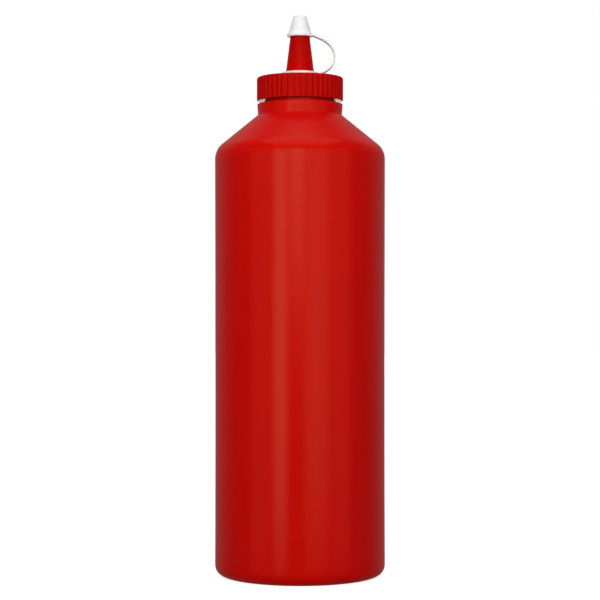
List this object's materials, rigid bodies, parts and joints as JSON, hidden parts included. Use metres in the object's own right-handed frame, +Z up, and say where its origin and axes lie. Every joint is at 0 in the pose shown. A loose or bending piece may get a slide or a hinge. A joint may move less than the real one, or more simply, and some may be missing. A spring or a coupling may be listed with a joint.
{
  "type": "ketchup squeeze bottle",
  "caption": "Upright squeeze bottle for ketchup: straight round body, cone shoulder, ribbed screw cap with a tapered nozzle, and a tip cap kept on by a strap.",
  "frame": {"origin": "middle of the base, on the surface that the bottle stands on", "axes": "+Z up along the bottle's axis, +X towards the strap of the tip cap, -Y towards the viewer of the picture"},
  "size_m": [0.082, 0.082, 0.2697],
  "materials": {
    "bottle_plastic": "satin red polyethylene, blow-moulded",
    "cap_plastic": "satin red plastic, injection-moulded",
    "tip_cap_plastic": "satin white polyethylene, slightly translucent"
  },
  "bodies": {
    "root": {"bottle": "bottle_plastic", "cap": "cap_plastic", "tip_cap": "tip_cap_plastic"}
  },
  "joints": []
}
